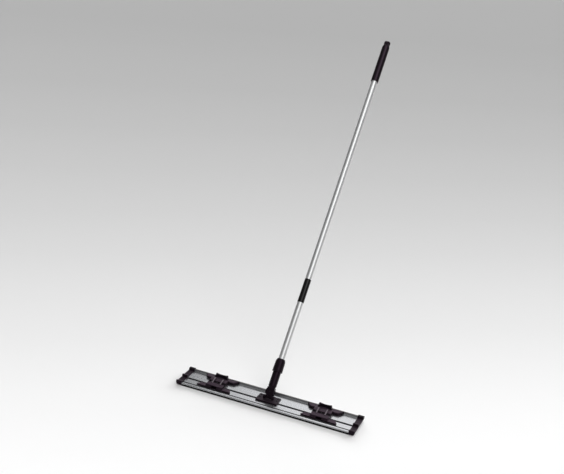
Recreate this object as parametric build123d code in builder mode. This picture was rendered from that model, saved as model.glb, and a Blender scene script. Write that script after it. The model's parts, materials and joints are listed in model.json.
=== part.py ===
"""Flat floor mop: a long aluminium plate with two cloth clips, a two-axis joint and a tube handle.

Millimetres. The origin is the middle of the sole, on the floor. X runs along the plate, Y to the
rear, where the handle leans, and Z up. Distances called "along" are measured up the handle from
the lower joint pin.
"""
import os
from math import cos, radians, sin, sqrt

from build123d import *

# Fits and clearances
running_gap = 0.05
seat_gap = 0.02
moving_gap = 0.4
slip_gap = 0.15
cloth_gap = 0.3

# Plate, an extrusion with a front bead, a low front strip, a step, a rear strip and a rear rail
head_length = 600.0
plate_half_width = 48.5
pad_thickness = 3.0
front_top = 8.0
rear_top = 10.0
step_y = -6.5
bead_width = 7.0
bead_top = 9.2
groove_width = 7.0
groove_depth = 2.4
step_groove_width = 6.0
step_groove_depth = 2.2
rail_width = 7.5
rail_top = 17.3
plate_wall = 1.5
web_width = 3.0
bead_round = 3.7
rail_cove = 0.8
rail_front_round = 1.0
rail_back_round = 5.5
foot_round = 1.2

# Sole pad, a ribbed rubber sheet between the end caps, with lips up the plate's long edges
sole_lip = 1.3
sole_lip_top = 5.5
pad_end_gap = 0.3
pad_groove_count = 6
pad_groove_pitch = 14.0
pad_groove_width = 2.0
pad_groove_depth = 1.0

# End caps, toothed cups over the plate's ends
cap_length = 19.0
cap_end_wall = 6.0
cap_side_wall = 1.5
cap_bottom = 1.0
cap_cover = 2.0
front_tooth_top = 15.0
middle_tooth_top = 17.5
rear_tooth_top = 19.0
front_tooth_crest = 4.0
front_tooth_slope = 12.0
middle_tooth_lead = 2.5
middle_tooth_rise = 1.2
middle_tooth_crest = 3.0
middle_tooth_slope = 12.5
rear_tooth_rise = 2.5
rear_tooth_width = 11.5
undercut_height = 8.0
undercut_depth = 3.0
tooth_round = 1.0

# Self-tapping cap screws
screw_radius = 1.75
screw_head_radius = 3.2
screw_head_height = 2.2
screw_sink = 2.5
screw_length = 18.0
screw_cross = 4.2
screw_blade = 1.1
screw_cross_depth = 1.1

# Blind rivets
rivet_radius = 2.0
rivet_head_radius = 4.0
rivet_head_height = 1.4
rivet_tail_radius = 3.0
rivet_tail_height = 2.0
rivet_sink = 1.2

# Joint base and its lower pin
base_half_length = 36.0
base_front = -21.5
base_rear = 19.5
base_top = 13.0
base_corner = 2.0
base_lip = 1.2
trough_floor = 0.7
pivot_y = 1.5
pivot_z = 17.5
lean = 40.0
joint_pin_radius = 2.2
lug_inner = 11.2
lug_outer = 17.0
lug_radius = 6.0
base_rivet_x = 28.0
base_rivet_ys = (0.0, 13.0)

# Tilt block between the two pins
pivot_spacing = 16.7
barrel_radius = 4.5
eye_radius = 8.0
eye_half = 4.2
web_half = 7.0

# Socket with its fork
cheek_thickness = 3.0
fork_radius = 15.0
fork_waist = 12.0
neck_radius = 13.0
neck_start = 31.0
socket_floor = 49.0
neck_top = 83.4
thread_radius = 12.4
thread_length = 13.0

# Lock nut and the split collet inside it
nut_length = 42.0
nut_radius = 16.4
nut_shoulder_radius = 15.6
nut_top_radius = 12.6
nut_shoulder_height = 34.4
nut_rim = 0.4
nut_rim_height = 3.0
nut_rim_round = 0.35
nut_shoulder_round = 12.0
nut_top_round = 1.5
collet_length = 18.0
collet_bottom_radius = 12.8
collet_top_radius = 12.1
collet_split = 2.0

# Handle
tube_radius = 10.5
tube_wall = 1.2
band_bottom = 321.7
band_length = 83.0
band_thickness = 0.25
grip_length = 127.0
grip_radius = 13.5
grip_ring_height = 37.0
grip_ring_width = 1.6
grip_ring_depth = 0.6
grip_end_round = 1.2
grip_cap_length = 45.0
handle_top = 1355.7
tube_end_depth = 30.0
dome_length = 24.0
dome_neck_radius = 10.0
dome_round = 2.5
dome_shoulder_round = 24.0
flange_radius = 11.4
flange_height = 8.5
flange_rise = 2.0
seam_round = 0.6
hang_radius = 4.0
hang_depth = 13.0
lug_flat = 8.0

# Cloth clips
clip_inset = 122.5
clip_half = 28.5
clip_floor = 11.6
clip_floor_front = -8.5
clip_floor_rear = 20.0
hinge_y = -4.0
hinge_z = 16.0
hinge_pin_radius = 1.75
knuckle_radius = 4.0
ear_inner = 12.0
ear_outer = 16.0
ear_front = -12.0
ear_rear = 15.0
ear_front_top = 19.7
ear_peak_y = 13.0
ear_peak_top = 25.7
ear_rear_top = 23.2
clip_rivet_x = 24.0
clip_rivet_y = 10.0

# Clip jaws
wing_half = 59.5
front_bar_front = -31.0
front_bar_rear = -14.0
front_bar_thickness = 4.2
front_bar_taper = 10.0
front_bar_round = 1.5
block_rear = -10.0
block_rear_top = 19.0
block_crest = -25.0
block_crest_top = 17.6
block_front_top = 12.0
block_round = 3.0
shoulder_floor = 12.8
valley_angle = 35.0
valley_radius = 7.0
recess_half = 9.5
recess_depth = 9.0
recess_bottom = 10.2
recess_top = 15.8
recess_round = 2.4
rear_bar_front = 21.0
rear_bar_taper = 12.0
rear_bar_top = 18.5
rear_bar_round = 2.5
rear_bar_corner = 9.0
tongue_crest_y = 14.0
tongue_crest_top = 23.0
tongue_rear_top = 19.5
tab_half = 20.0
tab_flare = 4.0
tab_top = 32.0
tab_dip = 2.4
tab_thickness = 8.0
tab_hollow = 5.5
tab_wall = 2.5
tab_inset = 6.0
tab_slope_start = 25.0

# Torsion springs of the jaws, with both legs along the bottom of the coil
wire_radius = 0.45
coil_turns = 3
coil_pitch = 1.4
rear_resting_leg = 4.5
front_resting_leg = 10.0
front_working_leg = 10.0
rear_working_leg = 28.0

# Frames of the handle
handle_plane = Plane(
    origin=(0, pivot_y, pivot_z),
    x_dir=(1, 0, 0),
    z_dir=(0, sin(radians(lean)), cos(radians(lean))),
)
handle_axis = Axis(handle_plane.origin, handle_plane.z_dir)
handle_side = Plane(
    origin=handle_plane.origin, x_dir=handle_plane.x_dir, z_dir=-handle_plane.y_dir
)

# Sizes that follow from the driving ones
plate_bottom = pad_thickness
plate_length = head_length - 2 * cap_end_wall
cap_inner_x = head_length / 2 - cap_length
rail_front = plate_half_width - rail_width
bead_screw = (-plate_half_width + bead_width / 2, (plate_bottom + bead_top) / 2)
rail_screw = (plate_half_width - rail_width / 2, (plate_bottom + rail_top) / 2)
tube_bottom = socket_floor + cloth_gap
tube_top = handle_top - tube_end_depth
cap_joint = handle_top - grip_cap_length
grip_bottom = cap_joint - grip_length
grip_ring = grip_bottom + grip_ring_height
cheek_inner = eye_half + moving_gap
cheek_outer = cheek_inner + cheek_thickness
nut_bottom = neck_top + cloth_gap
nut_top = nut_bottom + nut_length
thread_top = neck_top + thread_length
clip_x = head_length / 2 - clip_inset
ear_corners = [
    (ear_front, clip_floor),
    (ear_front, ear_front_top),
    (ear_peak_y, ear_peak_top),
    (ear_rear, ear_rear_top),
    (ear_rear, clip_floor),
]
front_reach = max(sqrt((y - hinge_y) ** 2 + (z - hinge_z) ** 2) for y, z in ear_corners[:2])
rear_reach = max(sqrt((y - hinge_y) ** 2 + (z - hinge_z) ** 2) for y, z in ear_corners[2:])
coil_radius = hinge_z - clip_floor - wire_radius - running_gap
coil_length = coil_turns * coil_pitch
coil_slope = coil_pitch / (radians(360) * coil_radius)
coil_clear = coil_radius + wire_radius + moving_gap
front_coil_x = -ear_outer - wire_radius - running_gap - coil_length - coil_slope * front_resting_leg
front_lane_end = front_coil_x - coil_slope * front_working_leg - wire_radius - moving_gap
rear_lane_half = coil_length / 2 + wire_radius + moving_gap
leg_slot = wire_radius + moving_gap
jaw_floor_front = front_top + cloth_gap
jaw_floor_rear = rear_top + cloth_gap
jaw_swing = rail_front - hinge_y - moving_gap
jaw_rear = hinge_y + sqrt(jaw_swing**2 - (hinge_z - jaw_floor_rear) ** 2)
tab_rear = jaw_rear - tab_inset

os.makedirs("parts", exist_ok=True)
pieces = {}


def keep(builder, name):
    """Label a finished piece and write it under its own name."""
    builder.part.label = name
    export_step(builder.part, f"parts/{name}.step")
    pieces[name] = builder.part


def outline(points):
    """Closed flat outline through the points, in its own plane."""
    with BuildSketch() as sketch:
        with BuildLine():
            Polyline(*points, close=True)
        make_face()
    return sketch.sketch


def corners_at(sketch, *points):
    """The corners of an open sketch that lie at the given points of its own plane."""
    return [min(sketch.vertices(), key=lambda v: (v.X - x) ** 2 + (v.Y - y) ** 2) for x, y in points]


def plate_outline():
    """Outer outline of the plate's section: Y across, Z up."""
    bead_back = -plate_half_width + bead_width
    with BuildSketch() as sketch:
        add(
            outline(
                [
                    (-plate_half_width, plate_bottom),
                    (-plate_half_width, bead_top),
                    (bead_back, bead_top),
                    (bead_back, front_top),
                    (step_y, front_top),
                    (step_y, rear_top),
                    (rail_front, rear_top),
                    (rail_front, rail_top),
                    (plate_half_width, rail_top),
                    (plate_half_width, plate_bottom),
                ]
            )
        )
        fillet(corners_at(sketch, (-plate_half_width, bead_top)), bead_round)
        fillet(corners_at(sketch, (rail_front, rear_top)), rail_cove)
        fillet(corners_at(sketch, (rail_front, rail_top)), rail_front_round)
        fillet(corners_at(sketch, (plate_half_width, rail_top)), rail_back_round)
        feet = ((-plate_half_width, plate_bottom), (plate_half_width, plate_bottom))
        fillet(corners_at(sketch, *feet), foot_round)
    return sketch.sketch


def chamber(y_low, y_high, z_high):
    """Hollow cell of the extrusion, above its bottom wall."""
    z_low = plate_bottom + plate_wall
    with BuildSketch() as sketch:
        with Locations(((y_low + y_high) / 2, (z_low + z_high) / 2)):
            Rectangle(y_high - y_low, z_high - z_low)
    return sketch.sketch


# Mop plate
clip_rivet_points = [
    (side * clip_x + offset, clip_rivet_y)
    for side in (-1, 1)
    for offset in (-clip_rivet_x, clip_rivet_x)
]
base_rivet_points = [(side * base_rivet_x, y) for side in (-1, 1) for y in base_rivet_ys]
with BuildPart() as mop_plate:
    with BuildSketch(Plane.YZ.offset(-plate_length / 2)) as section:
        add(plate_outline())
        bead_back = -plate_half_width + bead_width
        with Locations((bead_back + groove_width / 2, front_top)):
            Rectangle(groove_width, 2 * groove_depth, mode=Mode.SUBTRACT)
        with Locations((step_y - step_groove_width / 2, front_top)):
            Rectangle(step_groove_width, 2 * step_groove_depth, mode=Mode.SUBTRACT)
        front_cell = bead_back + groove_width + web_width
        add(
            chamber(front_cell, step_y - step_groove_width - web_width, front_top - plate_wall),
            mode=Mode.SUBTRACT,
        )
        add(
            chamber(step_y + web_width, rail_front - web_width, rear_top - plate_wall),
            mode=Mode.SUBTRACT,
        )
        with Locations(bead_screw, rail_screw):
            Circle(screw_radius + running_gap, mode=Mode.SUBTRACT)
    extrude(amount=plate_length)
    with BuildSketch(Plane.XY.offset(rear_top)) as rivet_holes:
        with Locations(*clip_rivet_points, *base_rivet_points):
            Circle(rivet_radius + running_gap)
    extrude(amount=-plate_wall, mode=Mode.SUBTRACT)
keep(mop_plate, "mop_plate")

# Sole pad
with BuildPart() as sole_pad:
    pad_half_length = cap_inner_x - pad_end_gap
    tray_half_width = plate_half_width + seat_gap
    with BuildSketch(Plane.YZ.offset(-pad_half_length)):
        with Locations((0, sole_lip_top / 2)):
            Rectangle(2 * (tray_half_width + sole_lip), sole_lip_top)
        with Locations((0, pad_thickness + sole_lip_top)):
            Rectangle(2 * tray_half_width, 2 * sole_lip_top, mode=Mode.SUBTRACT)
        with GridLocations(pad_groove_pitch, 1, pad_groove_count, 1):
            Rectangle(pad_groove_width, 2 * pad_groove_depth, mode=Mode.SUBTRACT)
    extrude(amount=2 * pad_half_length)
keep(sole_pad, "sole_pad")


# End caps
def cap_outline():
    """Outer outline of an end cap: three teeth, steep to the front, with dips between them."""
    half_width = plate_half_width + cap_side_wall
    front_dip = front_top + cap_cover
    rear_dip = rear_top + cap_cover
    crest = -half_width + front_tooth_crest
    middle = step_y - middle_tooth_lead
    rear = half_width - rear_tooth_width
    round_front = (front_tooth_top - front_dip) / 2
    round_rear = (rear_tooth_top - rear_dip) / 2
    teeth = [
        (crest, front_tooth_top),
        (crest + front_tooth_slope, front_dip),
        (middle - middle_tooth_rise, front_dip),
        (middle, middle_tooth_top),
        (middle + middle_tooth_crest, middle_tooth_top),
        (middle + middle_tooth_crest + middle_tooth_slope, rear_dip),
        (rear - rear_tooth_rise, rear_dip),
        (rear, rear_tooth_top),
    ]
    with BuildSketch() as sketch:
        add(
            outline(
                [
                    (-half_width, cap_bottom),
                    (-half_width, front_tooth_top),
                    *teeth,
                    (half_width, rear_tooth_top),
                    (half_width, cap_bottom),
                ]
            )
        )
        fillet(corners_at(sketch, *teeth), tooth_round)
        fillet(corners_at(sketch, (-half_width, front_tooth_top)), round_front)
        fillet(corners_at(sketch, (half_width, rear_tooth_top)), round_rear)
        fillet(
            corners_at(sketch, (-half_width, cap_bottom), (half_width, cap_bottom)),
            cap_side_wall,
        )
    return sketch.sketch


with BuildPart() as end_cap_right:
    with BuildSketch(Plane.YZ.offset(cap_inner_x)):
        add(cap_outline())
    extrude(amount=cap_length)
    with BuildSketch(Plane.YZ.offset(cap_inner_x)):
        add(plate_outline())
        offset(amount=slip_gap)
    extrude(amount=cap_length - cap_end_wall, mode=Mode.SUBTRACT)
    with BuildSketch(Plane.XZ.offset(-head_length)):
        with BuildLine():
            Polyline(
                (head_length / 2, cap_bottom + undercut_height),
                (head_length / 2 - undercut_depth, cap_bottom),
                (head_length / 2, cap_bottom),
                close=True,
            )
        make_face()
    extrude(amount=2 * head_length, mode=Mode.SUBTRACT)
    with BuildSketch(Plane.YZ.offset(head_length / 2)):
        with Locations(bead_screw, rail_screw):
            Circle(screw_radius + running_gap)
    extrude(amount=-cap_end_wall, mode=Mode.SUBTRACT)
    with BuildSketch(Plane.YZ.offset(head_length / 2)):
        with Locations(bead_screw, rail_screw):
            Circle(screw_head_radius + slip_gap)
    extrude(amount=-screw_sink - screw_head_height, mode=Mode.SUBTRACT)
keep(end_cap_right, "end_cap_right")

with BuildPart() as end_cap_left:
    mirror(end_cap_right.part, about=Plane.YZ)
keep(end_cap_left, "end_cap_left")

# Cap screws, two at each end
with BuildPart() as cap_screws:
    for side in (-1, 1):
        head_x = side * (head_length / 2 - screw_sink)
        head_plane = Plane(origin=(head_x, 0, 0), x_dir=(0, 1, 0), z_dir=(side, 0, 0))
        for y, z in (bead_screw, rail_screw):
            with BuildSketch(head_plane.offset(-screw_head_height)):
                with Locations((y, side * z)):
                    Circle(screw_head_radius)
            extrude(amount=screw_head_height)
            with BuildSketch(head_plane.offset(-screw_head_height)):
                with Locations((y, side * z)):
                    Circle(screw_radius)
            extrude(amount=-screw_length)
            with BuildSketch(head_plane):
                with Locations((y, side * z)):
                    Rectangle(screw_cross, screw_blade)
                    Rectangle(screw_blade, screw_cross)
            extrude(amount=-screw_cross_depth, mode=Mode.SUBTRACT)
keep(cap_screws, "cap_screws")

# Joint base: a stepped foot with a front lip, a trough under the fork and two lugs for the lower pin
with BuildPart() as joint_base:
    with BuildSketch(Plane.YZ.offset(-base_half_length)):
        add(
            outline(
                [
                    (base_front, front_top),
                    (base_front, base_top - base_lip),
                    (base_front + base_lip, base_top),
                    (base_rear, base_top),
                    (base_rear, rear_top),
                    (step_y, rear_top),
                    (step_y, front_top),
                ]
            )
        )
    extrude(amount=2 * base_half_length)
    fillet(joint_base.edges().filter_by(Axis.Z).group_by(Axis.X)[0], base_corner)
    fillet(joint_base.edges().filter_by(Axis.Z).group_by(Axis.X)[-1], base_corner)
    for side in (-1, 1):
        with BuildSketch(Plane.YZ.offset(side * (lug_inner + lug_outer) / 2)):
            with Locations((pivot_y, pivot_z)):
                Circle(lug_radius)
            with Locations((pivot_y, (pivot_z + base_top) / 2)):
                Rectangle(2 * lug_radius, pivot_z - base_top)
        extrude(amount=(lug_outer - lug_inner) / 2, both=True)
    with BuildSketch(Plane.XY.offset(rear_top + trough_floor)):
        with Locations((0, pivot_y)):
            Rectangle(2 * lug_inner, 2 * (base_rear - pivot_y) - 2 * base_lip)
    extrude(amount=2 * pivot_z, mode=Mode.SUBTRACT)
    with BuildSketch(Plane.YZ.offset(-base_half_length)):
        with Locations((pivot_y, pivot_z)):
            Circle(joint_pin_radius + seat_gap)
    extrude(amount=2 * base_half_length, mode=Mode.SUBTRACT)
    with BuildSketch(Plane.XY.offset(base_top)):
        with Locations(*base_rivet_points):
            Circle(rivet_radius + running_gap)
    extrude(amount=rear_top - base_top, mode=Mode.SUBTRACT)
keep(joint_base, "joint_base")


def rivet(points, seat, head):
    """Blind rivets with the given head outline, through a foot into the plate's hollow cell."""
    tail_top = rear_top - plate_wall
    with BuildPart() as rivets:
        for x, y in points:
            with BuildSketch(Plane(origin=(x, y, 0), x_dir=(1, 0, 0), z_dir=(0, -1, 0))):
                with BuildLine():
                    Polyline(
                        (0, seat + head[0][1]),
                        *[(radius, seat + height) for radius, height in head],
                        (rivet_radius, tail_top),
                        (rivet_tail_radius, tail_top),
                        (rivet_radius, tail_top - rivet_tail_height),
                        (0, tail_top - rivet_tail_height),
                        close=True,
                    )
                make_face()
            revolve(axis=Axis((x, y, 0), (0, 0, 1)))
    return rivets


domed_head = [
    (rivet_head_radius / 2, rivet_head_height),
    (rivet_head_radius, 0),
    (rivet_radius, 0),
]
sunk_head = [(rivet_tail_radius, 0), (rivet_radius, -rivet_sink)]
keep(rivet(base_rivet_points, base_top, domed_head), "joint_rivets")
keep(rivet(clip_rivet_points, clip_floor, sunk_head), "clip_rivets")

# Lower joint pin, along the plate
with BuildPart() as tilt_pin:
    with BuildSketch(Plane.YZ.offset(-lug_outer)):
        with Locations((pivot_y, pivot_z)):
            Circle(joint_pin_radius)
    extrude(amount=2 * lug_outer)
keep(tilt_pin, "tilt_pin")

# Tilt block: a barrel on the lower pin and an eye for the upper pin
with BuildPart() as tilt_block:
    barrel_half = lug_inner - moving_gap
    with BuildSketch(Plane.YZ.offset(-barrel_half)):
        with Locations((pivot_y, pivot_z)):
            Circle(barrel_radius)
    extrude(amount=2 * barrel_half)
    with BuildSketch(handle_side.offset(-eye_half)):
        with Locations((0, pivot_spacing / 2)):
            Rectangle(2 * web_half, pivot_spacing)
        with Locations((0, pivot_spacing)):
            Circle(eye_radius)
    extrude(amount=2 * eye_half)
    with BuildSketch(Plane.YZ.offset(-barrel_half)):
        with Locations((pivot_y, pivot_z)):
            Circle(joint_pin_radius + running_gap)
    extrude(amount=2 * barrel_half, mode=Mode.SUBTRACT)
    with BuildSketch(handle_side.offset(-eye_half)):
        with Locations((0, pivot_spacing)):
            Circle(joint_pin_radius + running_gap)
    extrude(amount=2 * eye_half, mode=Mode.SUBTRACT)
keep(tilt_block, "tilt_block")

# Upper joint pin, across the handle
with BuildPart() as swing_pin:
    with BuildSketch(handle_side.offset(-cheek_outer)):
        with Locations((0, pivot_spacing)):
            Circle(joint_pin_radius)
    extrude(amount=2 * cheek_outer)
keep(swing_pin, "swing_pin")

# Handle socket: a fork with round cheeks, a neck and a threaded end
with BuildPart() as handle_socket:
    with BuildSketch(handle_side.offset(-cheek_outer)):
        with Locations((0, pivot_spacing)):
            Circle(fork_radius)
        with Locations((0, (pivot_spacing + neck_start) / 2)):
            Rectangle(2 * fork_waist, neck_start - pivot_spacing)
    extrude(amount=2 * cheek_outer)
    with BuildSketch(handle_side):
        with BuildLine():
            slot_top = pivot_spacing + eye_radius + 2 * moving_gap
            Polyline(
                (0, slot_top),
                (cheek_outer, slot_top),
                (neck_radius, neck_start + neck_radius - cheek_outer),
                (neck_radius, neck_top),
                (thread_radius, neck_top),
                (thread_radius, thread_top),
                (0, thread_top),
                close=True,
            )
        make_face()
    revolve(axis=handle_axis)
    with BuildSketch(handle_side.offset(-cheek_inner)):
        with Locations((0, slot_top / 2)):
            Rectangle(4 * fork_radius, slot_top)
    extrude(amount=2 * cheek_inner, mode=Mode.SUBTRACT)
    with BuildSketch(handle_plane.offset(socket_floor)):
        Circle(tube_radius + running_gap)
    extrude(amount=thread_top, mode=Mode.SUBTRACT)
    with BuildSketch(handle_side.offset(-cheek_outer)):
        with Locations((0, pivot_spacing)):
            Circle(joint_pin_radius + seat_gap)
    extrude(amount=2 * cheek_outer, mode=Mode.SUBTRACT)
keep(handle_socket, "handle_socket")

# Split collet that grips the tube
with BuildPart() as collet:
    collet_bottom = thread_top + seat_gap
    collet_top = collet_bottom + collet_length
    with BuildSketch(handle_side):
        with BuildLine():
            Polyline(
                (tube_radius + running_gap, collet_bottom),
                (collet_bottom_radius, collet_bottom),
                (collet_top_radius, collet_top),
                (tube_radius + running_gap, collet_top),
                close=True,
            )
        make_face()
    revolve(axis=handle_axis)
    with BuildSketch(handle_plane.offset(collet_bottom)):
        with Locations((0, neck_radius)):
            Rectangle(collet_split, 2 * neck_radius)
    extrude(amount=collet_length, mode=Mode.SUBTRACT)
keep(collet, "collet")

# Lock nut: a barrel-shaped collar with a rim below and a rounded top
with BuildPart() as lock_nut:
    nut_corner = nut_bottom + nut_shoulder_height
    rim_corners = [
        (nut_radius + nut_rim, nut_bottom),
        (nut_radius + nut_rim, nut_bottom + nut_rim_height),
    ]
    with BuildSketch(handle_side) as nut_profile:
        add(
            outline(
                [
                    (thread_radius + moving_gap, nut_bottom),
                    *rim_corners,
                    (nut_radius, nut_bottom + nut_rim_height),
                    (nut_shoulder_radius, nut_corner),
                    (nut_top_radius, nut_top),
                    (tube_radius + moving_gap, nut_top),
                    (tube_radius + moving_gap, collet_top + moving_gap),
                    (collet_top_radius + moving_gap, collet_top + moving_gap),
                    (collet_bottom_radius + moving_gap, collet_bottom),
                    (thread_radius + moving_gap, collet_bottom - moving_gap),
                ]
            )
        )
        fillet(corners_at(nut_profile, (nut_shoulder_radius, nut_corner)), nut_shoulder_round)
        fillet(corners_at(nut_profile, (nut_top_radius, nut_top)), nut_top_round)
        fillet(corners_at(nut_profile, *rim_corners), nut_rim_round)
    revolve(axis=handle_axis)
keep(lock_nut, "lock_nut")

# Handle tube
with BuildPart() as handle_tube:
    with BuildSketch(handle_plane.offset(tube_bottom)):
        Circle(tube_radius)
        Circle(tube_radius - tube_wall, mode=Mode.SUBTRACT)
    extrude(amount=tube_top - tube_bottom)
keep(handle_tube, "handle_tube")

# Plain band around the tube
with BuildPart() as handle_band:
    with BuildSketch(handle_plane.offset(band_bottom)):
        Circle(tube_radius + seat_gap + band_thickness)
        Circle(tube_radius + seat_gap, mode=Mode.SUBTRACT)
    extrude(amount=band_length)
keep(handle_band, "handle_band")

# Grip sleeve with one ring groove
with BuildPart() as grip:
    with BuildSketch(handle_plane.offset(grip_bottom)):
        Circle(grip_radius)
        Circle(tube_radius + running_gap, mode=Mode.SUBTRACT)
    extrude(amount=cap_joint - grip_bottom)
    with BuildSketch(handle_plane.offset(grip_ring)):
        Circle(2 * grip_radius)
        Circle(grip_radius - grip_ring_depth, mode=Mode.SUBTRACT)
    extrude(amount=grip_ring_width, mode=Mode.SUBTRACT)
    fillet(
        grip.edges().filter_by(GeomType.CIRCLE).sort_by(handle_axis)[:2].sort_by(SortBy.RADIUS)[-1],
        grip_end_round,
    )
keep(grip, "grip")

# Grip end cap, tapering to a neck and a small flange, flattened round the hanging hole
with BuildPart() as grip_cap:
    shoulder = (grip_radius, handle_top - dome_length)
    flange_bottom = handle_top - flange_height
    with BuildSketch(handle_side) as dome_profile:
        add(
            outline(
                [
                    (0, cap_joint + seat_gap),
                    (grip_radius, cap_joint + seat_gap),
                    shoulder,
                    (dome_neck_radius, flange_bottom - flange_rise),
                    (flange_radius, flange_bottom),
                    (flange_radius, handle_top),
                    (0, handle_top),
                ]
            )
        )
        fillet(corners_at(dome_profile, (flange_radius, handle_top)), dome_round)
        fillet(corners_at(dome_profile, (flange_radius, flange_bottom)), seam_round)
        fillet(corners_at(dome_profile, shoulder), dome_shoulder_round)
        fillet(corners_at(dome_profile, (grip_radius, cap_joint + seat_gap)), seam_round)
    revolve(axis=handle_axis)
    with BuildSketch(handle_plane.offset(cap_joint)):
        Circle(tube_radius + running_gap)
    extrude(amount=tube_top + seat_gap - cap_joint, mode=Mode.SUBTRACT)
    eye_low = handle_top - hang_depth - 2 * hang_radius
    for side in (-1, 1):
        with BuildSketch(handle_plane.offset(eye_low)):
            with Locations((0, side * (lug_flat + grip_radius))):
                Rectangle(4 * grip_radius, 2 * grip_radius)
        extrude(amount=handle_top, mode=Mode.SUBTRACT)
    with BuildSketch(handle_side.offset(-lug_flat)):
        with Locations((0, handle_top - hang_depth)):
            Circle(hang_radius)
    extrude(amount=2 * lug_flat, mode=Mode.SUBTRACT)
keep(grip_cap, "grip_cap")


# Cloth clips
def around_hinge(x_low, x_high, radius):
    """Round bar on the hinge axis, between two places along X."""
    with BuildPart() as bar:
        with BuildSketch(Plane.YZ.offset(x_low)):
            with Locations((hinge_y, hinge_z)):
                Circle(radius)
        extrude(amount=x_high - x_low)
    return bar.part


def block(x_low, x_high, y_low, y_high, z_low, z_high):
    """Plain box between two corners."""
    with BuildPart() as box:
        with BuildSketch(Plane.XY.offset(z_low)):
            with Locations(((x_low + x_high) / 2, (y_low + y_high) / 2)):
                Rectangle(x_high - x_low, y_high - y_low)
        extrude(amount=z_high - z_low)
    return box.part


def sunk_hole(x, y):
    """Countersunk rivet hole through a clip's floor."""
    with BuildPart() as hole:
        with BuildSketch(Plane(origin=(x, y, 0), x_dir=(1, 0, 0), z_dir=(0, -1, 0))):
            with BuildLine():
                Polyline(
                    (0, clip_floor),
                    (rivet_tail_radius + running_gap, clip_floor),
                    (rivet_radius + running_gap, clip_floor - rivet_sink),
                    (rivet_radius + running_gap, rear_top),
                    (0, rear_top),
                    close=True,
                )
            make_face()
        revolve(axis=Axis((x, y, 0), (0, 0, 1)))
    return hole.part


def clip_base(x):
    """Floor plate with two ears for the hinge pin."""
    with BuildPart() as base:
        with BuildSketch(Plane.YZ.offset(x - clip_half)):
            with Locations(((clip_floor_front + clip_floor_rear) / 2, (rear_top + clip_floor) / 2)):
                Rectangle(clip_floor_rear - clip_floor_front, clip_floor - rear_top)
        extrude(amount=2 * clip_half)
        for side in (-1, 1):
            with BuildSketch(Plane.YZ.offset(x + side * (ear_inner + ear_outer) / 2)):
                add(outline([*ear_corners[:4], (ear_rear, rear_top), (clip_floor_front, rear_top)]))
            extrude(amount=(ear_outer - ear_inner) / 2, both=True)
        add(around_hinge(x - clip_half, x + clip_half, hinge_pin_radius + seat_gap), mode=Mode.SUBTRACT)
        for offset_x in (-clip_rivet_x, clip_rivet_x):
            add(sunk_hole(x + offset_x, clip_rivet_y), mode=Mode.SUBTRACT)
    return base


def hinge_pin(x):
    """Steel pin through the ears and the jaws' knuckles."""
    with BuildPart() as pin:
        with BuildSketch(Plane.YZ.offset(x - clip_half + moving_gap)):
            with Locations((hinge_y, hinge_z)):
                Circle(hinge_pin_radius)
        extrude(amount=2 * (clip_half - moving_gap))
    return pin


valley_y = valley_radius * cos(radians(valley_angle))
valley_z = valley_radius * sin(radians(valley_angle))


def front_jaw(x):
    """Front wing bar with a finger recess, shoulders and two knuckles on the hinge pin."""
    ear_side = ear_outer + moving_gap
    tongue_half = ear_inner - moving_gap
    with BuildPart() as jaw:
        with BuildSketch(Plane.XY.offset(jaw_floor_front)) as plan:
            add(
                outline(
                    [
                        (x - wing_half, front_bar_front),
                        (x + wing_half, front_bar_front),
                        (x + wing_half - front_bar_taper, front_bar_rear),
                        (x - wing_half + front_bar_taper, front_bar_rear),
                    ]
                )
            )
            fillet(plan.vertices(), front_bar_round)
        extrude(amount=front_bar_thickness)
        with BuildSketch(Plane.YZ.offset(x - clip_half)) as side_view:
            add(
                outline(
                    [
                        (front_bar_front, jaw_floor_front),
                        (front_bar_front, block_front_top),
                        (block_crest, block_crest_top),
                        (ear_front, block_rear_top),
                        (hinge_y - valley_y, hinge_z + valley_z),
                        (hinge_y, hinge_z),
                        (hinge_y, shoulder_floor),
                        (block_rear, shoulder_floor),
                        (block_rear, jaw_floor_front),
                    ]
                )
            )
            fillet(
                corners_at(
                    side_view,
                    (front_bar_front, block_front_top),
                    (block_crest, block_crest_top),
                ),
                block_round,
            )
        extrude(amount=2 * clip_half)
        add(
            around_hinge(x - tongue_half, x + tongue_half, knuckle_radius + moving_gap),
            mode=Mode.SUBTRACT,
        )
        for low, high in ((-ear_side, -tongue_half), (tongue_half, ear_side)):
            add(around_hinge(x + low, x + high, front_reach + moving_gap), mode=Mode.SUBTRACT)
        add(around_hinge(x + front_lane_end, x - tongue_half, coil_clear), mode=Mode.SUBTRACT)
        add(around_hinge(x - clip_half, x + front_lane_end, knuckle_radius))
        add(around_hinge(x + ear_side, x + clip_half, knuckle_radius))
        add(around_hinge(x - clip_half, x + clip_half, hinge_pin_radius + running_gap), mode=Mode.SUBTRACT)
        add(
            block(
                x + front_lane_end, x + front_coil_x + leg_slot,
                hinge_y - front_working_leg - moving_gap, hinge_y, clip_floor, shoulder_floor,
            ),
            mode=Mode.SUBTRACT,
        )
        with BuildSketch(Plane.XZ.offset(-front_bar_front)):
            with Locations((x, (recess_bottom + recess_top) / 2)):
                RectangleRounded(2 * recess_half, recess_top - recess_bottom, recess_round)
        extrude(amount=-recess_depth, mode=Mode.SUBTRACT)
    return jaw


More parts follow.
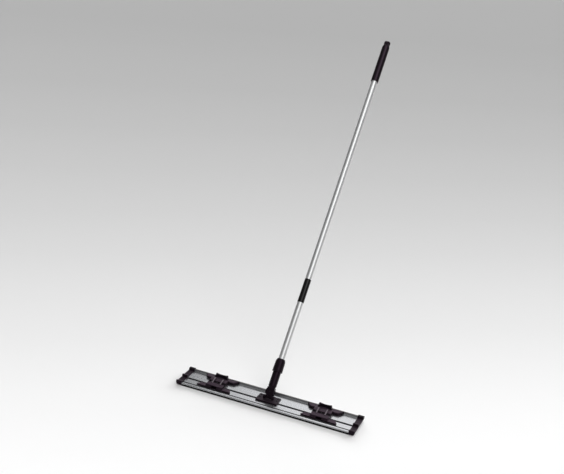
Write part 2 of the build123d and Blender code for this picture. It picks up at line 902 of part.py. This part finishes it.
def thumb_tab(x):
    """Tall scoop on the rear jaw: hollow front face and a saddle along its top."""
    foot = rear_bar_top - rear_bar_round
    wide = tab_half + tab_flare
    front = tab_rear - tab_thickness
    hollow = wide - tab_wall
    with BuildPart() as tab:
        with BuildSketch(Plane.XY.offset(foot)):
            with BuildLine():
                Polyline(
                    (x - hollow, front),
                    (x - wide, front),
                    (x - wide, tab_rear),
                    (x + wide, tab_rear),
                    (x + wide, front),
                    (x + hollow, front),
                )
                ThreePointArc((x + hollow, front), (x, front + tab_hollow), (x - hollow, front))
            make_face()
        extrude(amount=tab_top - foot)
        with BuildSketch(Plane.XZ.offset(-tab_rear)):
            with BuildLine():
                Polyline(
                    (x - tab_half, tab_top),
                    (x - wide, foot),
                    (x + wide, foot),
                    (x + tab_half, tab_top),
                )
                ThreePointArc((x + tab_half, tab_top), (x, tab_top - tab_dip), (x - tab_half, tab_top))
            make_face()
        extrude(amount=tab_thickness, mode=Mode.INTERSECT)
        with BuildSketch(Plane.YZ.offset(x - wide)):
            with BuildLine():
                Polyline(
                    (front, tab_slope_start),
                    (tab_rear - tab_wall, tab_top),
                    (front, tab_top),
                    close=True,
                )
            make_face()
        extrude(amount=2 * wide, mode=Mode.SUBTRACT)
    return tab.part


def rear_jaw(x):
    """Rear wing bar in the rail's corner, with the thumb tab, a tongue and two shoulders."""
    ear_side = ear_outer + moving_gap
    tongue_half = ear_inner - moving_gap
    with BuildPart() as jaw:
        with BuildSketch(Plane.XY.offset(jaw_floor_rear)) as plan:
            front_corners = [
                (x - wing_half + rear_bar_taper, rear_bar_front),
                (x + wing_half - rear_bar_taper, rear_bar_front),
            ]
            add(outline([*front_corners, (x + wing_half, jaw_rear), (x - wing_half, jaw_rear)]))
            fillet(corners_at(plan, *front_corners), rear_bar_corner)
        extrude(amount=rear_bar_top - jaw_floor_rear)
        fillet(jaw.edges().group_by(Axis.Z)[-1].sort_by(Axis.Y)[:-1], rear_bar_round)
        with BuildSketch(Plane.YZ.offset(x - clip_half)):
            add(
                outline(
                    [
                        (hinge_y, hinge_z),
                        (hinge_y + valley_y, hinge_z + valley_z),
                        (tongue_crest_y, tongue_crest_top),
                        (tab_rear - tab_thickness, tongue_rear_top),
                        (tab_rear - tab_wall, tongue_rear_top),
                        (tab_rear - tab_wall, jaw_floor_rear),
                        (rear_bar_front, jaw_floor_rear),
                        (rear_bar_front, shoulder_floor),
                        (hinge_y, shoulder_floor),
                    ]
                )
            )
        extrude(amount=2 * clip_half)
        add(thumb_tab(x))
        clear = knuckle_radius + moving_gap
        add(around_hinge(x - clip_half, x - tongue_half, clear), mode=Mode.SUBTRACT)
        add(around_hinge(x + tongue_half, x + clip_half, clear), mode=Mode.SUBTRACT)
        for low, high in ((-ear_side, -tongue_half), (tongue_half, ear_side)):
            add(around_hinge(x + low, x + high, rear_reach + moving_gap), mode=Mode.SUBTRACT)
        add(around_hinge(x + front_lane_end, x - tongue_half, coil_clear), mode=Mode.SUBTRACT)
        add(around_hinge(x - tongue_half, x + tongue_half, knuckle_radius))
        add(around_hinge(x - rear_lane_half, x + rear_lane_half, coil_clear), mode=Mode.SUBTRACT)
        add(around_hinge(x - clip_half, x + clip_half, hinge_pin_radius + running_gap), mode=Mode.SUBTRACT)
        leg_x = x + coil_length / 2
        add(
            block(
                leg_x - leg_slot, leg_x + coil_slope * rear_working_leg + leg_slot,
                hinge_y, hinge_y + rear_working_leg + moving_gap, clip_floor, shoulder_floor,
            ),
            mode=Mode.SUBTRACT,
        )
    return jaw


for side, hand in ((-1, "left"), (1, "right")):
    keep(clip_base(side * clip_x), f"clip_base_{hand}")
    keep(hinge_pin(side * clip_x), f"hinge_pin_{hand}")
    keep(front_jaw(side * clip_x), f"front_jaw_{hand}")
    keep(rear_jaw(side * clip_x), f"rear_jaw_{hand}")


# Torsion springs
def coil_point(turn, x_start):
    """Point and direction on the spring's helix after so many turns, from its bottom."""
    angle = radians(360 * turn)
    point = Vector(
        x_start + coil_pitch * turn,
        hinge_y + coil_radius * sin(angle),
        hinge_z - coil_radius * cos(angle),
    )
    heading = Vector(coil_slope, cos(angle), sin(angle)).normalized()
    return point, heading


def torsion_spring(x_start, front_leg, rear_leg):
    """One unbroken wire: a straight leg, the coil on biarcs of a quarter turn, and a straight leg."""
    first, first_heading = coil_point(0, x_start)
    last, last_heading = coil_point(coil_turns, x_start)
    with BuildPart() as spring:
        with BuildLine() as wire:
            Line(first - first_heading * front_leg, first)
            for quarter in range(4 * coil_turns):
                start, leaving = coil_point(quarter / 4, x_start)
                end, arriving = coil_point((quarter + 1) / 4, x_start)
                chord = end - start
                spread = 2 * (1 - leaving.dot(arriving))
                along = chord.dot(leaving + arriving)
                reach = (sqrt(along**2 + spread * chord.dot(chord)) - along) / spread
                middle = (start + end + (leaving - arriving) * reach) / 2
                half_way = (middle - start).normalized()
                between = half_way * (2 * half_way.dot(leaving)) - leaving
                TangentArc(start, middle, tangent=leaving)
                TangentArc(middle, end, tangent=between)
            Line(last, last + last_heading * rear_leg)
        with BuildSketch(Plane(origin=first - first_heading * front_leg, z_dir=first_heading)):
            Circle(wire_radius)
        sweep(path=wire.line)
    return spring


def least_gap(front_leg, rear_leg):
    """Least gap between stretches of one wire that are over half a turn apart, on points."""
    steps = 24
    first, first_heading = coil_point(0, 0)
    last, last_heading = coil_point(coil_turns, 0)
    points = [first - first_heading * (front_leg * (steps - i) / steps) for i in range(steps)]
    points += [coil_point(i / steps, 0)[0] for i in range(steps * coil_turns)]
    points += [last + last_heading * (rear_leg * i / steps) for i in range(steps + 1)]
    travelled = [0.0]
    for here, after in zip(points, points[1:]):
        travelled.append(travelled[-1] + (after - here).length)
    half_turn = radians(180) * coil_radius
    apart = [
        (points[i] - points[j]).length
        for i in range(len(points))
        for j in range(i)
        if travelled[i] - travelled[j] > half_turn
    ]
    return min(apart) - 2 * wire_radius


front_gap = least_gap(front_working_leg, front_resting_leg)
rear_gap = least_gap(rear_resting_leg, rear_working_leg)
print(f"least gap of a front spring to itself {front_gap:.2f} mm, of a rear spring {rear_gap:.2f} mm")
for side, hand in ((-1, "left"), (1, "right")):
    rear_spring = torsion_spring(side * clip_x - coil_length / 2, rear_resting_leg, rear_working_leg)
    front_spring = torsion_spring(side * clip_x + front_coil_x, front_working_leg, front_resting_leg)
    keep(rear_spring, f"rear_spring_{hand}")
    keep(front_spring, f"front_spring_{hand}")
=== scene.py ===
"""Finishes, softened pieces, studio and camera for the flat mop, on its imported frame, in metres."""
import json
import math

import bmesh
import bpy
from mathutils import Matrix, Vector


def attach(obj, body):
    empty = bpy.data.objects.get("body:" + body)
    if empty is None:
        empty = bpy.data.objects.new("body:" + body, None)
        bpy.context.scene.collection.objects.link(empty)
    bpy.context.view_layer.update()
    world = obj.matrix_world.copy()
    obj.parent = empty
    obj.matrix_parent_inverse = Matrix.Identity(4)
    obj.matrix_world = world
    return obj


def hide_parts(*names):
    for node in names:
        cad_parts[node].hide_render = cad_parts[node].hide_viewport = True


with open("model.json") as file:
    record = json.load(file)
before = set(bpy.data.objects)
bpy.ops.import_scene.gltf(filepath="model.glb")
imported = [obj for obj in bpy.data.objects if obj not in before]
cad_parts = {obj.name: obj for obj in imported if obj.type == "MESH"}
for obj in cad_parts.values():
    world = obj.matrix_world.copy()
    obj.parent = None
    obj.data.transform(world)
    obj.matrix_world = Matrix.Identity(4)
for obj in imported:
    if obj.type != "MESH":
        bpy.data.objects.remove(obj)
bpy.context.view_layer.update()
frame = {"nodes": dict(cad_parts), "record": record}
scene = bpy.context.scene

# Handle lean, rearwards from upright
LEAN = math.radians(40.0)

# Camera, fitted to the photographed corners
IMAGE_WIDTH = 564
SENSOR_WIDTH = 36.0
FOCAL_PIXELS = 859.584
CAMERA_PLACE = Vector((0.824340, -2.238267, 1.351329))
CAMERA_HEADING = math.radians(-20.4068)
CAMERA_PITCH = math.radians(18.6178)
CAMERA_ROLL = math.radians(5.6992)

# Floor: its shades from the near side to the far one, greyer with distance as a painted falloff of
# light, the shade that it lights the mop with, and where a new stop of its colour ramp starts
FLOOR_SIZE = 120.0
FLOOR_HEADING = math.radians(36.0)
FLOOR_REACH = (-0.3, 12.0)
FLOOR_SHADES = (
    (0.0, 0.97), (0.018, 0.933), (0.063, 0.814), (0.132, 0.689), (0.181, 0.628),
    (0.25, 0.572), (0.347, 0.522), (0.50, 0.48), (0.776, 0.452), (1.0, 0.44),
)
FLOOR_BOUNCE = 0.35
MIDWAY = 0.5

# Room light, and lamps: direction towards the lamp, width in degrees, strength
ROOM_LIGHT = 0.15
LAMPS = {
    "rear_lamp": ((0.09, 0.80, 0.58), 53.5, 0.495),
    "overhead_lamp": ((0.10, 0.05, 1.00), 56.0, 0.68),
    "front_lamp": ((0.46, -0.40, 0.78), 40.0, 0.80),
}

# Low lamps behind the mop, which share one strength
LOW_LAMPS = 4.9
LOW_LAMP_WIDTH = 20.0
LOW_LAMP_RISE = math.radians(14.0)
LOW_LAMP_SIDES = [math.radians(side) for side in (-36, -18, 0, 18, 36)]

# Rounds on the edges of moulded, cut and pressed pieces
MOULD_ROUND = 0.0005
CLIP_ROUND = 0.0006
SMALL_ROUND = 0.0002
PLATE_ROUND = 0.0003
RUBBER_ROUND = 0.0004
RIVET_ROUND = 0.0005
ROUND_STEPS = 2
SHARP_EDGE = math.radians(32.0)
SMOOTH_EDGE = math.radians(50.0)
MERGE_REACH = 0.000002
FLAT_ENOUGH = math.radians(0.3)
FLAT_WEIGHT = 100

# Small holes in the rivet heads
JOINT_RIVET_TOP = 0.0140
CLIP_RIVET_TOP = 0.0112
HEAD_TILT = 0.99
DIMPLE_RIM = 0.0009
DIMPLE_TAPER = 0.0001
DIMPLE_DEPTH = 0.0006

# Places on the plate, the caps and the clips that get painted shade or painted light
BEAD_GROOVE = (-0.0416, -0.0344)
STEP_GROOVE = (-0.0126, -0.0064)
FRONT_STRIP = 0.00795
REAR_STRIP = 0.00970
GROOVE_FLOOR = 0.0054
RAIL_FRONT = 0.0409
RAIL_LOW = 0.0106
RAIL_TOP_TILT = 0.45
TOP_LIGHT_TILT = 0.8
CAP_TOP_LIGHT_LEVEL = 0.0185
EAR_LOW = 0.0172
EAR_TILT = 0.5
CLIP_PLACE = 0.1775
HINGE_GAP = (-0.0092, 0.0012)
RECESS_DEPTH = (-0.0305, -0.0215)
RECESS_HALF = 0.0100
RECESS_TOP = 0.0135

# Patterns: the middle range of a noise, which is spread over the shades and gloss of a finish
MIDDLE_RANGE = (0.3, 0.7)
WHOLE_RANGE = (0.0, 1.0)
NOISE_ROUGHNESS = 0.55

# Metals: drawing lines, handling marks and uneven gloss
ALONG_PLATE = (2, 700, 700)
ALONG_HANDLE = (700, 700, 4)
ALONG_SCREW = (60, 900, 900)
ON_WIRE = (500, 500, 500)
ON_PIN = (300, 300, 300)
HANDLE_TURN = (-LEAN, 0, 0)
NO_TURN = (0, 0, 0)
LINE_SCALE = 1.0
LINE_DETAIL = 1.0
LINE_SHARE = 0.5
LINE_DEPTH = 0.0000002
LINE_RELIEF = 0.5
MARK_SCALE = 6.0
MARK_DETAIL = 1.0
METAL_UNEVEN = 0.03

# Plastics and rubber: sheen, its tint, grain (scale and depth), clouds, scuffs and uneven gloss
SHEEN = 0.25
PLAIN_TINT = (1.0, 1.0, 1.0)
PLUM_TINT = (1.0, 0.68, 0.95)
MOULD_GRAIN = (1500.0, 0.00010)
RUBBER_GRAIN = (900.0, 0.00015)
FILM_GRAIN = (400.0, 0.00002)
GRAIN_DETAIL = 2.0
GRAIN_RELIEF = 0.35
CLOUD_SCALE = 55.0
CLOUD_DETAIL = 4.0
SCUFF_STRETCH = (1, 5, 5)
SCUFF_TURN = (0.3, 0.2, 0.7)
SCUFF_SCALE = 60.0
SCUFF_DETAIL = 2.0
SCUFF_RANGE = (0.62, 0.80)
SCUFF_SHARE = 0.3
GLOSSIER = 0.06
DULLER = 0.08


def node_tree(material):
    """Node tree and main shader of a new material."""
    material.use_nodes = True
    tree = material.node_tree
    return tree, tree.nodes["Principled BSDF"]


def object_pattern(tree, stretch=(1, 1, 1), turn=NO_TURN):
    """Object coordinates, turned and stretched for a pattern."""
    coordinates = tree.nodes.new("ShaderNodeTexCoord")
    mapping = tree.nodes.new("ShaderNodeMapping")
    mapping.vector_type = "TEXTURE"
    mapping.inputs["Rotation"].default_value = turn
    mapping.inputs["Scale"].default_value = [1 / amount for amount in stretch]
    tree.links.new(coordinates.outputs["Object"], mapping.inputs["Vector"])
    return mapping.outputs["Vector"]


def noise(tree, vector, scale, detail):
    """Cloudy pattern from 0 to 1."""
    texture = tree.nodes.new("ShaderNodeTexNoise")
    texture.inputs["Scale"].default_value = scale
    texture.inputs["Detail"].default_value = detail
    texture.inputs["Roughness"].default_value = NOISE_ROUGHNESS
    tree.links.new(vector, texture.inputs["Vector"])
    return texture.outputs["Fac"]


def spread(tree, value, target, source=MIDDLE_RANGE):
    """One range of a pattern spread over another."""
    ranger = tree.nodes.new("ShaderNodeMapRange")
    ranger.inputs["From Min"].default_value = source[0]
    ranger.inputs["From Max"].default_value = source[1]
    ranger.inputs["To Min"].default_value = target[0]
    ranger.inputs["To Max"].default_value = target[1]
    tree.links.new(value, ranger.inputs["Value"])
    return ranger.outputs["Result"]


def shades(tree, value, dark, light):
    """Colour between a dark and a light shade."""
    ramp = tree.nodes.new("ShaderNodeValToRGB")
    for stop, place, shade in zip(ramp.color_ramp.elements, MIDDLE_RANGE, (dark, light)):
        stop.position = place
        stop.color = (*shade, 1)
    tree.links.new(value, ramp.inputs["Fac"])
    return ramp.outputs["Color"]


def relief(tree, height, depth, strength):
    """Bump of a given depth in metres."""
    bump = tree.nodes.new("ShaderNodeBump")
    bump.inputs["Strength"].default_value = strength
    bump.inputs["Distance"].default_value = depth
    tree.links.new(height, bump.inputs["Height"])
    return bump.outputs["Normal"]


def between(tree, first, second, share):
    """Two patterns mixed, with a share of the second."""
    mix = tree.nodes.new("ShaderNodeMix")
    mix.inputs["Factor"].default_value = share
    tree.links.new(first, mix.inputs["A"])
    tree.links.new(second, mix.inputs["B"])
    return mix.outputs["Result"]


def drawn_metal(name, dark, light, stretch, turn, rough):
    """Metal with fine drawing lines along one direction and faint handling marks."""
    material = bpy.data.materials.new(name)
    tree, shader = node_tree(material)
    lines = noise(tree, object_pattern(tree, stretch, turn), LINE_SCALE, LINE_DETAIL)
    marks = noise(tree, object_pattern(tree), MARK_SCALE, MARK_DETAIL)
    tone = between(tree, marks, lines, LINE_SHARE)
    gloss = spread(tree, tone, (rough - METAL_UNEVEN, rough + METAL_UNEVEN))
    tree.links.new(shades(tree, tone, dark, light), shader.inputs["Base Color"])
    tree.links.new(gloss, shader.inputs["Roughness"])
    tree.links.new(relief(tree, lines, LINE_DEPTH, LINE_RELIEF), shader.inputs["Normal"])
    shader.inputs["Metallic"].default_value = 1.0
    return material


def moulded(name, dark, light, rough, grain=MOULD_GRAIN, sheen=SHEEN, tint=PLAIN_TINT):
    """Moulded plastic or rubber with a fine grain, a few scuffs and slightly uneven gloss."""
    material = bpy.data.materials.new(name)
    tree, shader = node_tree(material)
    here = object_pattern(tree)
    grain_scale, grain_depth = grain
    clouds = noise(tree, here, CLOUD_SCALE, CLOUD_DETAIL)
    fine = noise(tree, here, grain_scale, GRAIN_DETAIL)
    streaks = noise(tree, object_pattern(tree, SCUFF_STRETCH, SCUFF_TURN), SCUFF_SCALE, SCUFF_DETAIL)
    scuffs = spread(tree, streaks, WHOLE_RANGE, SCUFF_RANGE)
    tone = between(tree, clouds, scuffs, SCUFF_SHARE)
    gloss = spread(tree, tone, (rough - GLOSSIER, rough + DULLER))
    tree.links.new(shades(tree, tone, dark, light), shader.inputs["Base Color"])
    tree.links.new(gloss, shader.inputs["Roughness"])
    tree.links.new(relief(tree, fine, grain_depth, GRAIN_RELIEF), shader.inputs["Normal"])
    shader.inputs["Specular IOR Level"].default_value = sheen
    shader.inputs["Specular Tint"].default_value = (*tint, 1)
    return material


def plum_black(name, dark, light, rough, sheen=SHEEN):
    """Black plastic with a plum sheen."""
    return moulded(name, dark, light, rough, sheen=sheen, tint=PLUM_TINT)


# Finish of each material slot: dark and light shade, lie of a metal's lines, roughness
FINISHES = {
    "plate_aluminium": drawn_metal(
        "satin_plate", (0.745, 0.755, 0.785), (0.785, 0.795, 0.82), ALONG_PLATE, NO_TURN, 0.27),
    "tube_aluminium": drawn_metal(
        "drawn_tube", (0.79, 0.795, 0.80), (0.89, 0.895, 0.90), ALONG_HANDLE, HANDLE_TURN, 0.48),
    "frame_plastic": plum_black(
        "frame_black", (0.0080, 0.0052, 0.0076), (0.0150, 0.0102, 0.0142), 0.40, sheen=0.16),
    "clip_plastic": plum_black(
        "clip_black", (0.0095, 0.0062, 0.0090), (0.0170, 0.0118, 0.0160), 0.42),
    "grip_plastic": plum_black(
        "grip_black", (0.0080, 0.0054, 0.0075), (0.0140, 0.0098, 0.0132), 0.34),
    "sole_rubber": moulded(
        "rubber_black", (0.010, 0.010, 0.010), (0.018, 0.018, 0.018), 0.72, RUBBER_GRAIN),
    "band_film": moulded(
        "film_black", (0.0100, 0.0088, 0.0095), (0.0150, 0.0132, 0.0142), 0.25, FILM_GRAIN),
    "collet_plastic": moulded(
        "collet_white", (0.62, 0.62, 0.60), (0.72, 0.72, 0.70), 0.45),
    "steel": drawn_metal(
        "zinc_steel", (0.42, 0.43, 0.44), (0.55, 0.56, 0.57), ALONG_SCREW, NO_TURN, 0.35),
    "spring_steel": drawn_metal(
        "blued_wire", (0.035, 0.035, 0.038), (0.06, 0.06, 0.063), ON_WIRE, NO_TURN, 0.45),
    "black_rivet": moulded(
        "rivet_black", (0.012, 0.012, 0.013), (0.022, 0.022, 0.023), 0.35),
}

# Finishes of edges (partly wear, partly painted highlight), pins, and the places that get painted
# shade or painted light
# Lighter rounded edges: partly wear, partly a painted highlight
frame_edge_wear_and_highlight = plum_black(
    "frame_worn_edge_and_highlight", (0.026, 0.019, 0.025), (0.046, 0.035, 0.044), 0.32)
clip_edge_wear_and_highlight = plum_black(
    "clip_worn_edge_and_highlight", (0.040, 0.030, 0.0385), (0.095, 0.075, 0.092), 0.32)
pin_black = drawn_metal(
    "blackened_pin", (0.030, 0.030, 0.032), (0.05, 0.05, 0.052), ON_PIN, NO_TURN, 0.4)
# Painted shade: the rail's front and top are painted darker than the plate
rail_front_painted_shade = drawn_metal(
    "rail_front_painted_shade", (0.42, 0.415, 0.415), (0.50, 0.495, 0.495), ALONG_PLATE, NO_TURN, 0.32)
rail_top_painted_shade = drawn_metal(
    "rail_top_painted_shade", (0.17, 0.165, 0.165), (0.23, 0.225, 0.225), ALONG_PLATE, NO_TURN, 0.35)
# Painted shade: dark grey in the plate's grooves, where shade falls
groove_painted_shade = moulded(
    "groove_painted_shade", (0.045, 0.045, 0.046), (0.085, 0.085, 0.086), 0.60, sheen=0.2)
# Painted highlight: a much lighter plum on the ears' upper edges
ear_painted_highlight = plum_black(
    "ear_painted_highlight", (0.17, 0.145, 0.165), (0.40, 0.36, 0.39), 0.34)
# Painted shade: near-black in the hinge gap and the finger recess
clip_painted_shade = plum_black(
    "clip_painted_shade", (0.0030, 0.0020, 0.0028), (0.0060, 0.0042, 0.0056), 0.60, sheen=0.06)
# Painted light: a lighter plum on the upward faces of the clips
clip_painted_top_light = plum_black(
    "clip_painted_top_light", (0.038, 0.0255, 0.0360), (0.070, 0.049, 0.067), 0.46)
# Painted light: a lighter plum on the upward faces of the end caps and the joint base
frame_painted_top_light = plum_black(
    "frame_painted_top_light", (0.018, 0.0125, 0.0172), (0.034, 0.025, 0.0325), 0.44)

slots = {row["node"]: row["material_slot"] for row in frame["record"]["subparts"]}
body_groups = frame["record"]["behaviour"]["bodies"]
bodies = {node: body for body, group in body_groups.items() for node in group}
for name, node in frame["nodes"].items():
    node.data.materials.clear()
    node.data.materials.append(FINISHES[slots[name]])
for name in ("tilt_pin", "swing_pin", "hinge_pin_left", "hinge_pin_right"):
    frame["nodes"][name].data.materials[0] = pin_black


def merge_points():
    """The edited piece's points that lie on top of each other, made one."""
    bpy.ops.mesh.select_all(action="SELECT")
    bpy.ops.mesh.remove_doubles(threshold=MERGE_REACH)


def dimpled(low):
    """A small hole in each flat top of the edited piece that lies above a level."""
    bpy.ops.mesh.select_all(action="DESELECT")
    mesh = bpy.context.edit_object.data
    surface = bmesh.from_edit_mesh(mesh)
    for face in surface.faces:
        face.select = face.normal.z > HEAD_TILT and face.calc_center_median().z > low
    bmesh.update_edit_mesh(mesh)
    bpy.ops.mesh.inset(thickness=DIMPLE_RIM, use_even_offset=True)
    bpy.ops.mesh.inset(thickness=DIMPLE_TAPER, depth=-DIMPLE_DEPTH, use_even_offset=True)


def softened(name, width, edge=None, dimple_above=None):
    """A copy of a node with small rounds on its sharp edges, in the node's place."""
    bpy.ops.object.select_all(action="DESELECT")
    piece = bpy.data.objects.new(name + "_softened", frame["nodes"][name].data.copy())
    scene.collection.objects.link(piece)
    piece.select_set(True)
    bpy.context.view_layer.objects.active = piece
    bpy.ops.object.mode_set(mode="EDIT")
    merge_points()
    bpy.ops.mesh.dissolve_limited(angle_limit=FLAT_ENOUGH)
    if dimple_above is not None:
        dimpled(dimple_above)
    bpy.ops.object.mode_set(mode="OBJECT")
    rounds = piece.modifiers.new("rounds", "BEVEL")
    rounds.width = width
    rounds.segments = ROUND_STEPS
    rounds.limit_method = "ANGLE"
    rounds.angle_limit = SHARP_EDGE
    rounds.use_clamp_overlap = True
    if edge is not None:
        piece.data.materials.append(edge)
        rounds.material = len(piece.data.materials) - 1
    bpy.ops.object.modifier_apply(modifier="rounds")
    bpy.ops.object.mode_set(mode="EDIT")
    merge_points()
    bpy.ops.object.mode_set(mode="OBJECT")
    bpy.ops.object.shade_smooth_by_angle(angle=SMOOTH_EDGE)
    flats = piece.modifiers.new("flats", "WEIGHTED_NORMAL")
    flats.mode = "FACE_AREA"
    flats.weight = FLAT_WEIGHT
    flats.keep_sharp = True
    bpy.ops.object.modifier_apply(modifier="flats")
    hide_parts(name)
    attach(piece, bodies[name])
    return piece


def refinished(piece, finish, chosen):
    """Another finish on the faces that a rule picks."""
    piece.data.materials.append(finish)
    for face in piece.data.polygons:
        if chosen(face):
            face.material_index = len(piece.data.materials) - 1


def in_groove(face):
    """Inside of the plate's two long grooves, and the step above the rear one, which get painted
    shade.
    """
    depth = face.center.y
    level = face.center.z
    front = BEAD_GROOVE[0] < depth < BEAD_GROOVE[1] and level < FRONT_STRIP
    rear = STEP_GROOVE[0] < depth < STEP_GROOVE[1] and level < REAR_STRIP
    return (front or rear) and level > GROOVE_FLOOR


def on_rail(face):
    """Front, top and rounded back of the plate's rear rail, painted darker as painted shade."""
    return face.center.y > RAIL_FRONT and face.center.z > RAIL_LOW


def on_rail_top(face):
    """Rounded top of the rail, with darker painted shade still."""
    return on_rail(face) and face.normal.z > RAIL_TOP_TILT


def on_upper_face(face):
    """Faces that look up, which are painted lighter as painted light from above."""
    return face.normal.z > TOP_LIGHT_TILT


def in_cap_dip(face):
    """Upper faces of an end cap below its rear tooth, painted lighter as painted light."""
    return on_upper_face(face) and face.center.z < CAP_TOP_LIGHT_LEVEL


def on_ear_top(face):
    """Upper edges of a clip's two ears, which get a painted highlight."""
    return face.center.z > EAR_LOW and face.normal.z > EAR_TILT


def in_clip_painted_shade(face):
    """Faces of a jaw in the gap over the hinge, and inside the finger recess, which get painted
    shade.
    """
    across = abs(abs(face.center.x) - CLIP_PLACE)
    depth = face.center.y
    inside = across < RECESS_HALF and face.center.z < RECESS_TOP
    recess = inside and RECESS_DEPTH[0] < depth < RECESS_DEPTH[1]
    return recess or HINGE_GAP[0] < depth < HINGE_GAP[1]


for side in ("left", "right"):
    # Painted light on the upper faces in the end caps' dips
    refinished(softened("end_cap_" + side, MOULD_ROUND, frame_edge_wear_and_highlight), frame_painted_top_light, in_cap_dip)
    clip_base = softened("clip_base_" + side, CLIP_ROUND, clip_edge_wear_and_highlight)
    # Painted light on the clip base's upper faces
    refinished(clip_base, clip_painted_top_light, on_upper_face)
    # Painted highlight on the ears' upper edges
    refinished(clip_base, ear_painted_highlight, on_ear_top)
    for jaw in ("front_jaw_" + side, "rear_jaw_" + side):
        clip_jaw = softened(jaw, CLIP_ROUND, clip_edge_wear_and_highlight)
        # Painted light on the jaw's upper faces
        refinished(clip_jaw, clip_painted_top_light, on_upper_face)
        # Painted shade in the hinge gap and the finger recess
        refinished(clip_jaw, clip_painted_shade, in_clip_painted_shade)
# Painted light on the joint base's upper faces
refinished(softened("joint_base", MOULD_ROUND, frame_edge_wear_and_highlight), frame_painted_top_light, on_upper_face)
softened("tilt_block", MOULD_ROUND, frame_edge_wear_and_highlight)
softened("handle_socket", MOULD_ROUND, frame_edge_wear_and_highlight)
softened("lock_nut", SMALL_ROUND, frame_edge_wear_and_highlight)
softened("grip", SMALL_ROUND, frame_edge_wear_and_highlight)
softened("grip_cap", SMALL_ROUND, frame_edge_wear_and_highlight)
softened("collet", SMALL_ROUND)
softened("cap_screws", SMALL_ROUND)
softened("joint_rivets", RIVET_ROUND, dimple_above=JOINT_RIVET_TOP)
softened("clip_rivets", SMALL_ROUND, dimple_above=CLIP_RIVET_TOP)
plate = softened("mop_plate", PLATE_ROUND)
# Painted shade in the plate's grooves and on the step
refinished(plate, groove_painted_shade, in_groove)
# Painted shade on the rail, darker still on its top
refinished(plate, rail_front_painted_shade, on_rail)
refinished(plate, rail_top_painted_shade, on_rail_top)
softened("sole_pad", RUBBER_ROUND)


def floor_paper():
    """Pale paper, greyer with the distance as a painted falloff of light, that throws little light
    back on the mop.
    """
    material = bpy.data.materials.new("floor_paper")
    tree, shader = node_tree(material)
    depth = tree.nodes.new("ShaderNodeSeparateXYZ")
    tree.links.new(object_pattern(tree, turn=(0, 0, FLOOR_HEADING)), depth.inputs["Vector"])
    paper = tree.nodes.new("ShaderNodeValToRGB")
    stops = paper.color_ramp.elements
    for _ in FLOOR_SHADES[2:]:
        stops.new(MIDWAY)
    for stop, (place, shade) in zip(stops, FLOOR_SHADES):
        stop.position = place
        stop.color = (shade, shade, shade, 1)
    reach = spread(tree, depth.outputs["Y"], WHOLE_RANGE, FLOOR_REACH)
    tree.links.new(reach, paper.inputs["Fac"])
    ray = tree.nodes.new("ShaderNodeLightPath")
    seen = ray.outputs["Is Camera Ray"]
    for kind in ("Is Glossy Ray", "Is Transmission Ray"):
        either = tree.nodes.new("ShaderNodeMath")
        either.operation = "MAXIMUM"
        tree.links.new(seen, either.inputs[0])
        tree.links.new(ray.outputs[kind], either.inputs[1])
        seen = either.outputs["Value"]
    colour = tree.nodes.new("ShaderNodeMix")
    colour.data_type = "RGBA"
    colour.inputs["A"].default_value = (FLOOR_BOUNCE, FLOOR_BOUNCE, FLOOR_BOUNCE, 1)
    tree.links.new(seen, colour.inputs["Factor"])
    tree.links.new(paper.outputs["Color"], colour.inputs["B"])
    tree.links.new(colour.outputs["Result"], shader.inputs["Base Color"])
    shader.inputs["Roughness"].default_value = 1.0
    shader.inputs["Specular IOR Level"].default_value = 0.0
    return material


def studio_floor():
    """Wide floor under the mop."""
    bpy.ops.object.select_all(action="DESELECT")
    bpy.ops.mesh.primitive_plane_add(size=FLOOR_SIZE)
    floor = bpy.context.object
    floor.name = "studio_floor"
    floor.data.materials.append(floor_paper())


def soft_lamp(name, towards, width, strength, mirrored=True):
    """Broad far lamp in a given direction, seen or not seen in reflections."""
    lamp = bpy.data.lights.new(name, "SUN")
    lamp.energy = strength
    lamp.angle = math.radians(width)
    holder = bpy.data.objects.new(name, lamp)
    scene.collection.objects.link(holder)
    holder.rotation_euler = Vector(towards).to_track_quat("Z", "Y").to_euler()
    holder.visible_glossy = mirrored


def studio_light():
    """Dim room, low lamps that aren't seen in reflections, and broad lamps that are."""
    world = bpy.data.worlds.new("studio")
    world.use_nodes = True
    background = world.node_tree.nodes["Background"]
    background.inputs["Color"].default_value = (1, 1, 1, 1)
    background.inputs["Strength"].default_value = ROOM_LIGHT
    scene.world = world
    level = math.cos(LOW_LAMP_RISE)
    rise = math.sin(LOW_LAMP_RISE)
    share = LOW_LAMPS / len(LOW_LAMP_SIDES)
    for number, side in enumerate(LOW_LAMP_SIDES, start=1):
        towards = (math.sin(side) * level, math.cos(side) * level, rise)
        soft_lamp("low_rear_lamp_%d" % number, towards, LOW_LAMP_WIDTH, share, mirrored=False)
    for name, (towards, width, strength) in LAMPS.items():
        soft_lamp(name, towards, width, strength)


def camera():
    """Camera at the photographed angle."""
    data = bpy.data.cameras.new("photo_camera")
    data.sensor_fit = "HORIZONTAL"
    data.sensor_width = SENSOR_WIDTH
    data.lens = FOCAL_PIXELS / IMAGE_WIDTH * SENSOR_WIDTH
    holder = bpy.data.objects.new("photo_camera", data)
    scene.collection.objects.link(holder)
    forward = Vector((
        math.sin(CAMERA_HEADING) * math.cos(CAMERA_PITCH),
        math.cos(CAMERA_HEADING) * math.cos(CAMERA_PITCH),
        -math.sin(CAMERA_PITCH),
    ))
    level = Vector((math.cos(CAMERA_HEADING), -math.sin(CAMERA_HEADING), 0))
    upright = level.cross(forward)
    right = level * math.cos(CAMERA_ROLL) + upright * math.sin(CAMERA_ROLL)
    up = upright * math.cos(CAMERA_ROLL) - level * math.sin(CAMERA_ROLL)
    turn = Matrix((right, up, -forward)).transposed().to_4x4()
    holder.matrix_world = Matrix.Translation(CAMERA_PLACE) @ turn
    scene.camera = holder


studio_floor()
studio_light()
camera()
scene.view_settings.view_transform = "Standard"
